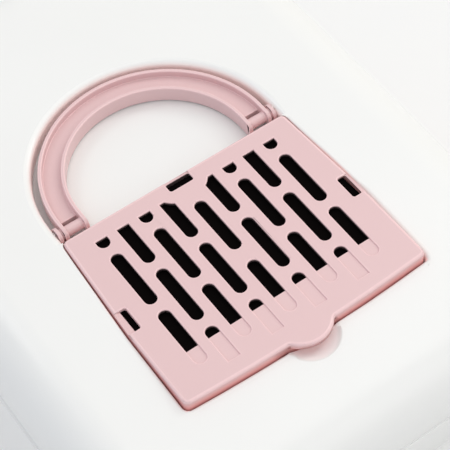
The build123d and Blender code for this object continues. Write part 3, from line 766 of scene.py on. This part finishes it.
def add_carbon_grains(pad, material):
    """Scatter carbon grains close under the pad's upper face, as part of its own mesh."""
    grains = pad.modifiers.new("carbon_grains", "NODES")
    grains.node_group = carbon_grain_group(material)
    for socket in grains.node_group.interface.items_tree:
        if socket.name in GRAIN_VALUES:
            grains[socket.identifier] = GRAIN_VALUES[socket.name]
    settle(pad)


def sink_upper_face(pad, depth_mm):
    """Lower the upper face of the pad, so that it lies well clear of the vent cover."""
    top = max(point.co.z for point in pad.data.vertices)
    for point in pad.data.vertices:
        if top - point.co.z < depth_mm * MM:
            point.co.z -= depth_mm * MM


filter_pad = moulded_copy("carbon_filter", "filter_pad", "cover", BLACK_FOAM, round_mm=0.6)
sink_upper_face(filter_pad, PAD_SINK_MM)
add_carbon_grains(filter_pad, BLACK_FOAM)

# Side clips
for corner in ("front_left", "front_right", "rear_left", "rear_right"):
    clip = "clip_" + corner
    moulded_copy("side_" + clip, clip + "_lever", clip, PINK_PLASTIC, round_mm=0.4)


def profile_block(name, outline, middle_y, half_length, body, material):
    """Add a closed block along Y with the given outline in XZ, in millimetres."""
    shape = bmesh.new()
    front, back = (
        [shape.verts.new((x * MM, y * MM, z * MM)) for x, z in outline]
        for y in (middle_y - half_length, middle_y + half_length)
    )
    shape.faces.new(front)
    shape.faces.new(back[::-1])
    for index in range(len(outline)):
        after = (index + 1) % len(outline)
        shape.faces.new((front[after], front[index], back[index], back[after]))
    bmesh.ops.recalc_face_normals(shape, faces=shape.faces)
    piece = add_object(name, finished_mesh(name, shape, material))
    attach(piece, body)


# Ramp in the left window, from the lowered rim down to the edge of the filter pad, in millimetres
WINDOW_WALL_X = -81.2
RAMP_ROOT_X = WINDOW_WALL_X - 0.6
RAMP_CREST_X = WINDOW_WALL_X + 0.2
RAMP_FOOT_X = WINDOW_WALL_X + 2.5
RAMP_BACK_X = WINDOW_WALL_X + 1.9
RAMP_TOP_Z = ROOF_TOP - 0.15
RAMP_FOOT_Z = ROOF_TOP - 1.1
RAMP_LIP_Z = ROOF_TOP - 1.65
RAMP_BASE_Z = ROOF_TOP - 7
RAMP_HALF_LENGTH = 8.2
profile_block(
    "window_ramp",
    (
        (RAMP_ROOT_X, RAMP_TOP_Z),
        (RAMP_CREST_X, RAMP_TOP_Z),
        (RAMP_FOOT_X, RAMP_FOOT_Z),
        (RAMP_FOOT_X, RAMP_LIP_Z),
        (RAMP_BACK_X, RAMP_LIP_Z),
        (RAMP_BACK_X, RAMP_BASE_Z),
        (RAMP_ROOT_X, RAMP_BASE_Z),
    ),
    middle_y=WINDOW_MIDDLE_Y,
    half_length=RAMP_HALF_LENGTH,
    body="cover",
    material=PINK_PLASTIC,
)


# Studio floor, in metres
FLOOR_REACH = 4


def paper_material():
    """Matt white paper."""
    material = bpy.data.materials.new("studio_floor_paper")
    material.use_nodes = True
    shader = material.node_tree.nodes["Principled BSDF"]
    shader.inputs["Base Color"].default_value = (0.90, 0.90, 0.895, 1)
    shader.inputs["Roughness"].default_value = 0.9
    return material


floor_mesh = bpy.data.meshes.new("studio_floor")
floor_corners = [(x * FLOOR_REACH, y * FLOOR_REACH, 0) for x, y in ((-1, -1), (1, -1), (1, 1), (-1, 1))]
floor_mesh.from_pydata(floor_corners, [], [(0, 1, 2, 3)])
floor_mesh.materials.append(paper_material())
studio_floor = add_object("studio_floor", floor_mesh)

# Lights, in metres and watts, all aimed at the upper part of the box
LIGHT_TARGET = Vector((0, 0, 0.35))
WARM_LIGHT = (1.0, 0.985, 0.95)
SOFT_WARM_LIGHT = (1.0, 0.99, 0.97)
WHITE_LIGHT = (1.0, 1.0, 1.0)


def soft_light(name, place, size, power, colour):
    """Add a square area light that faces the target point."""
    light = bpy.data.lights.new(name, "AREA")
    light.shape = "SQUARE"
    light.size = size
    light.energy = power
    light.color = colour
    lamp = add_object(name, light)
    lamp.location = place
    lamp.rotation_euler = (LIGHT_TARGET - Vector(place)).to_track_quat("-Z", "Y").to_euler()


soft_light("key_softbox", (0.9, 0.15, 2.3), size=1.4, power=8.2, colour=WARM_LIGHT)
soft_light("front_softbox", (0.5, -1.8, 1.8), size=1.2, power=4.8, colour=SOFT_WARM_LIGHT)
soft_light("right_strip", (2.2, 0.2, 2.1), size=0.7, power=8.7, colour=WARM_LIGHT)
soft_light("back_left_strip", (-0.95, 1.6, 2.6), size=0.7, power=5.8, colour=WHITE_LIGHT)

# Studio air, a little cooler and dimmer from the left
AIR_LEFT = (0.83, 0.878, 0.965)
AIR_RIGHT = (1.0, 0.99, 0.96)
AIR_STRENGTH = 0.78


def studio_air():
    """A world lit by the two air tones, one from each side."""
    world = bpy.data.worlds.new("studio_air")
    world.use_nodes = True
    tree = world.node_tree
    way = add_node(tree, "ShaderNodeTexCoord")
    parts = add_node(tree, "ShaderNodeSeparateXYZ")
    from_left = add_node(tree, "ShaderNodeMapRange", From_Min=-1.0, From_Max=0.4)
    tone = colour_mix(tree, A=AIR_LEFT, B=AIR_RIGHT)
    background = tree.nodes["Background"]
    background.inputs["Strength"].default_value = AIR_STRENGTH
    link = tree.links.new
    link(way.outputs["Generated"], parts.inputs["Vector"])
    link(parts.outputs["X"], from_left.inputs["Value"])
    link(from_left.outputs["Result"], tone.inputs["Factor"])
    link(tone.outputs["Result"], background.inputs["Color"])
    return world


bpy.context.scene.world = studio_air()

# Camera, solved from the corners of the vent cover and its rows of slots, in metres and degrees
CAMERA_PLACE = (-0.30946, -0.56775, 1.22092)
CAMERA_TURN = (36.2712, 3.0002, -35.2474)
CAMERA_LENS_MM = 140.27
camera_data = bpy.data.cameras.new("photo_camera")
camera_data.sensor_width = 36.0
camera_data.lens = CAMERA_LENS_MM
camera_data.clip_end = 20
photo_camera = add_object("photo_camera", camera_data)
photo_camera.location = CAMERA_PLACE
photo_camera.rotation_euler = Euler([math.radians(angle) for angle in CAMERA_TURN])
bpy.context.scene.camera = photo_camera
bpy.context.scene.view_settings.view_transform = "Standard"
